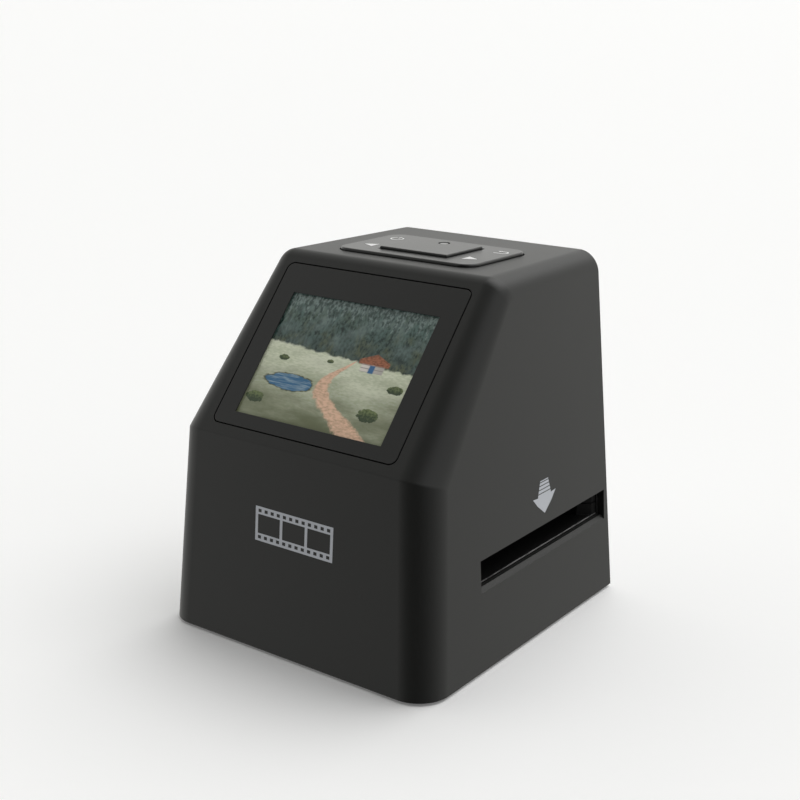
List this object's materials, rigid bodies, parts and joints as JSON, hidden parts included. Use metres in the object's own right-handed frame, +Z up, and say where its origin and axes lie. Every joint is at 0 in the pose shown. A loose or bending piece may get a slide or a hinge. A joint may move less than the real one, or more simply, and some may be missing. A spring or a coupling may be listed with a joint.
{
  "type": "film negative scanner",
  "caption": "Desktop film scanner: wedge-shaped hood with a sloping screen, rocking key pad with a centre key, and a film slot through both sides.",
  "frame": {"origin": "on the table, under the middle of the footprint", "axes": "+X is the scanner's right seen from the screen side, +Y runs from the front to the back, and +Z is up"},
  "size_m": [0.0916, 0.0972, 0.1023],
  "materials": {
    "case": "fine textured dark grey-black moulding",
    "keys": "smooth satin black moulding",
    "panel": "satin black sheet round the screen",
    "picture": null,
    "inner_case": "dull black moulding, to soak up stray light",
    "rubber": "matt black rubber",
    "steel": "bright zinc-plated steel",
    "sheet_steel": "stamped tinned sheet",
    "white_plastic": "white moulding",
    "diffuser": "opal sheet",
    "clear": "clear moulding",
    "optics": "coated glass",
    "circuit_board": "green solder mask with white and gold marks",
    "chip": "black moulded package",
    "capacitor": "dark blue sleeve",
    "film_cable": "amber polyimide film",
    "wire": "insulated wire"
  },
  "bodies": {
    "root": {"backlight_board": "circuit_board", "backlight_wire_left": "wire", "backlight_wire_right": "wire", "base_plate": "case", "base_screw_front_left": "steel", "base_screw_front_right": "steel", "base_screw_rear_left": "steel", "base_screw_rear_right": "steel", "capacitor_1": "capacitor", "capacitor_2": "capacitor", "centre_switch": "chip", "channel_screw_front_left": "steel", "channel_screw_front_right": "steel", "channel_screw_rear_left": "steel", "channel_screw_rear_right": "steel", "detent_cap": "inner_case", "detent_spring": "steel", "diffuser": "diffuser", "film_guide_lower": "inner_case", "film_guide_upper": "inner_case", "foot_front_left": "rubber", "foot_front_right": "rubber", "foot_rear_left": "rubber", "foot_rear_right": "rubber", "hood": "case", "image_sensor": "chip", "ir_filter": "optics", "key_board": "circuit_board", "key_cable": "film_cable", "key_carrier": "inner_case", "lcd_backlight": "white_plastic", "lcd_bracket": "sheet_steel", "lcd_flex_cable": "film_cable", "lcd_glass": "picture", "led_light_pipe": "clear", "lens_barrel": "inner_case", "lens_glass": "optics", "lens_holder": "inner_case", "light_box": "white_plastic", "light_chamber": "inner_case", "main_board": "circuit_board", "memory_chip": "chip", "processor_chip": "chip", "rear_cover": "case", "rear_screw_lower_left": "steel", "rear_screw_lower_right": "steel", "rear_screw_upper_left": "steel", "rear_screw_upper_right": "steel", "screen_connector": "white_plastic", "screen_panel": "panel", "sd_card_socket": "sheet_steel", "sensor_board": "circuit_board", "sensor_ribbon": "film_cable", "status_led": "clear", "usb_socket": "sheet_steel"},
    "rocker_ring": {"rocker_ring": "inner_case"},
    "rocker_plate": {"rocker_plate": "keys"},
    "centre_key": {"centre_key": "keys", "centre_switch_plunger": "white_plastic"},
    "detent_plunger": {"detent_plunger": "steel"}
  },
  "joints": [
    {"name": "rocker_tilt_fore", "type": "hinge", "parent": "root", "child": "rocker_ring", "pos_m": [0, 0.0136, 0.0954], "axis": [1, 0, 0], "range_deg": [-0.8, 0.8], "stiffness_Nm_per_rad": 0.5},
    {"name": "rocker_tilt_side", "type": "hinge", "parent": "rocker_ring", "child": "rocker_plate", "pos_m": [0, 0.0136, 0.0954], "axis": [0, 1, 0], "range_deg": [-0.8, 0.8], "stiffness_Nm_per_rad": 0.5},
    {"name": "centre_key_press", "type": "slide", "parent": "root", "child": "centre_key", "axis": [0, 0, -1], "range_m": [0, 0.0005], "stiffness_N_per_m": 1500},
    {"name": "detent_press", "type": "slide", "parent": "root", "child": "detent_plunger", "axis": [0, 0, 1], "range_m": [0, 0.001], "stiffness_N_per_m": 800, "springref_m": -0.0005, "deforming": ["detent_spring"]}
  ]
}
